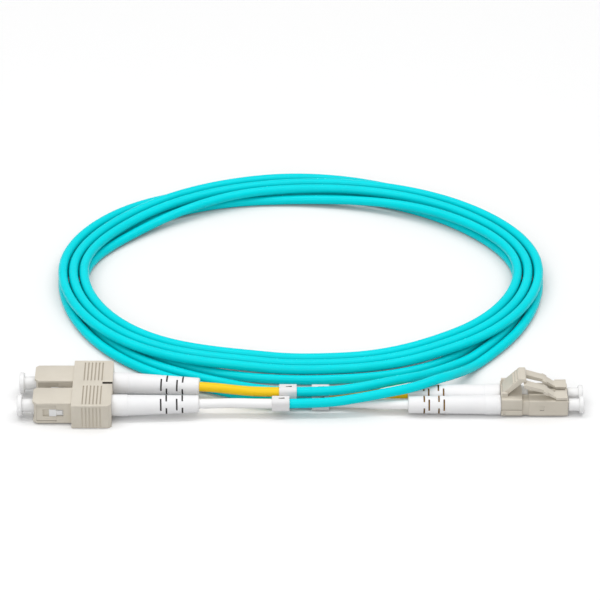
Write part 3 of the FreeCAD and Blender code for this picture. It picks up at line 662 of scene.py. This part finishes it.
def strand_points(index, letter):
    """From the SC marker round the coil to the LC marker."""
    points = [in_marker("sc_" + letter, STRAND_REACH)]
    points += [Vector(p) for p in LEG_ROUTE["sc_" + letter]]
    points.append(coil_point(index, COIL_START) - coil_tangent(index, COIL_START) * LEG_LEAD * MM)
    count = round((COIL_END - COIL_START) / 360 * POINTS_PER_TURN)
    for k in range(count + 1):
        points.append(coil_point(index, COIL_START + (COIL_END - COIL_START) * k / count))
    points.append(points[-1] + coil_tangent(index, COIL_END) * LEG_LEAD * MM)
    points += [Vector(p) for p in LEG_ROUTE["lc_" + letter]]
    points.append(in_marker("lc_" + letter, STRAND_REACH))
    return points


def lay_strand(index, letter):
    """One of the two cables that make the coil, with its two legs."""
    points = strand_points(index, letter)
    piece = cable("strand_" + letter, points, STRAND_D, "aqua_jacket")
    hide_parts("sc_%s_leg" % letter, "coil_strand_" + letter, "lc_%s_leg" % letter)


def lay_sleeve(plug, letter):
    """The tube between a boot and its marker."""
    key = "%s_%s" % (plug, letter)
    bend, tail = BOOT_TAIL[key]
    along = (tail - bend).normalized()
    points = [tail - along * (SLEEVE_HOLD * MM), tail + along * (SLEEVE_LEAD[plug] * MM)]
    points += [Vector(p) for p in SLEEVE_ROUTE[key]] + [in_marker(key, SLEEVE_REACH)]
    piece = cable(key + "_tube", points, SLEEVE_D, SLEEVE_SLOT[letter])
    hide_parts(key + "_sleeve")


for index, letter in enumerate("ab"):
    lay_strand(index, letter)
    lay_sleeve("sc", letter)
    lay_sleeve("lc", letter)


# Stage, light and camera, in metres

FLOOR_SIZE = 8.0
FLOOR_DROP = 0.00002
ROOM_LIGHT = 0.45
SENSOR_WIDTH = 36.0
FRAME_PX = 600.0
FOCAL_PX = 3888.0
CAMERA_SPOT = (-0.00023, -1.00677, 0.65381)
CAMERA_DOWN = 31.447
CAMERA_REACH = (0.05, 30.0)


def floor():
    """White floor, which sends on less light than it shows, so that the undersides stay in shade."""
    bpy.ops.mesh.primitive_plane_add(size=FLOOR_SIZE, location=(0, 0, -FLOOR_DROP))
    plane = bpy.context.object
    plane.name = "floor"
    mat = new_material("floor_white")
    mix = bounce_mix(mat, bounced=(0.60, 0.60, 0.60))
    mix.inputs["A"].default_value = (0.96, 0.96, 0.96, 1)
    shader_of(mat).inputs["Roughness"].default_value = 0.9
    shader_of(mat).inputs["Specular IOR Level"].default_value = 0.0
    plane.data.materials.append(mat)


def lamp(name, size, power, spot, target):
    data = bpy.data.lights.new(name, "AREA")
    data.shape = "RECTANGLE"
    data.size, data.size_y = size
    data.energy = power
    light = put(name, data)
    light.location = spot
    light.rotation_mode = "QUATERNION"
    light.rotation_quaternion = (Vector(target) - Vector(spot)).to_track_quat("-Z", "Y")


def lamps():
    lamp("overhead", size=(2.2, 1.7), power=8.9, spot=(0.0, 0.08, 1.3), target=(0.0, 0.05, 0.0))
    lamp("strip", size=(1.8, 0.05), power=3.4, spot=(0.0, 0.06, 1.1), target=(0.0, 0.05, 0.0))
    lamp("front", size=(1.4, 0.9), power=6.6, spot=(-0.3, -1.3, 0.9), target=(0.0, 0.0, 0.0))


def room():
    """A room that lights the object softly, and is plain white to the camera and through clear plastic."""
    world = bpy.data.worlds.new("room")
    world.use_nodes = True
    nodes, link = world.node_tree.nodes, world.node_tree.links.new
    soft = nodes["Background"]
    soft.inputs["Color"].default_value = (1, 1, 1, 1)
    soft.inputs["Strength"].default_value = ROOM_LIGHT
    white = nodes.new("ShaderNodeBackground")
    white.inputs["Color"].default_value = (1, 1, 1, 1)
    white.inputs["Strength"].default_value = 1.0
    path = nodes.new("ShaderNodeLightPath")
    either = nodes.new("ShaderNodeMath")
    either.operation = "MAXIMUM"
    mix = nodes.new("ShaderNodeMixShader")
    link(path.outputs["Is Camera Ray"], either.inputs[0])
    link(path.outputs["Is Transmission Ray"], either.inputs[1])
    link(either.outputs[0], mix.inputs["Fac"])
    link(soft.outputs[0], mix.inputs[1])
    link(white.outputs[0], mix.inputs[2])
    link(mix.outputs[0], nodes["World Output"].inputs["Surface"])
    bpy.context.scene.world = world


def camera():
    """The camera stands in front of the part, as in the photograph, and looks along +Y and down at it."""
    data = bpy.data.cameras.new("photo_camera")
    data.sensor_width = SENSOR_WIDTH
    data.lens = FOCAL_PX / FRAME_PX * SENSOR_WIDTH
    data.clip_start, data.clip_end = CAMERA_REACH
    eye = put("photo_camera", data)
    eye.location = CAMERA_SPOT
    eye.rotation_euler = (math.radians(90 - CAMERA_DOWN), 0, 0)
    bpy.context.scene.camera = eye


floor()
lamps()
room()
camera()
bpy.context.scene.view_settings.view_transform = "Standard"
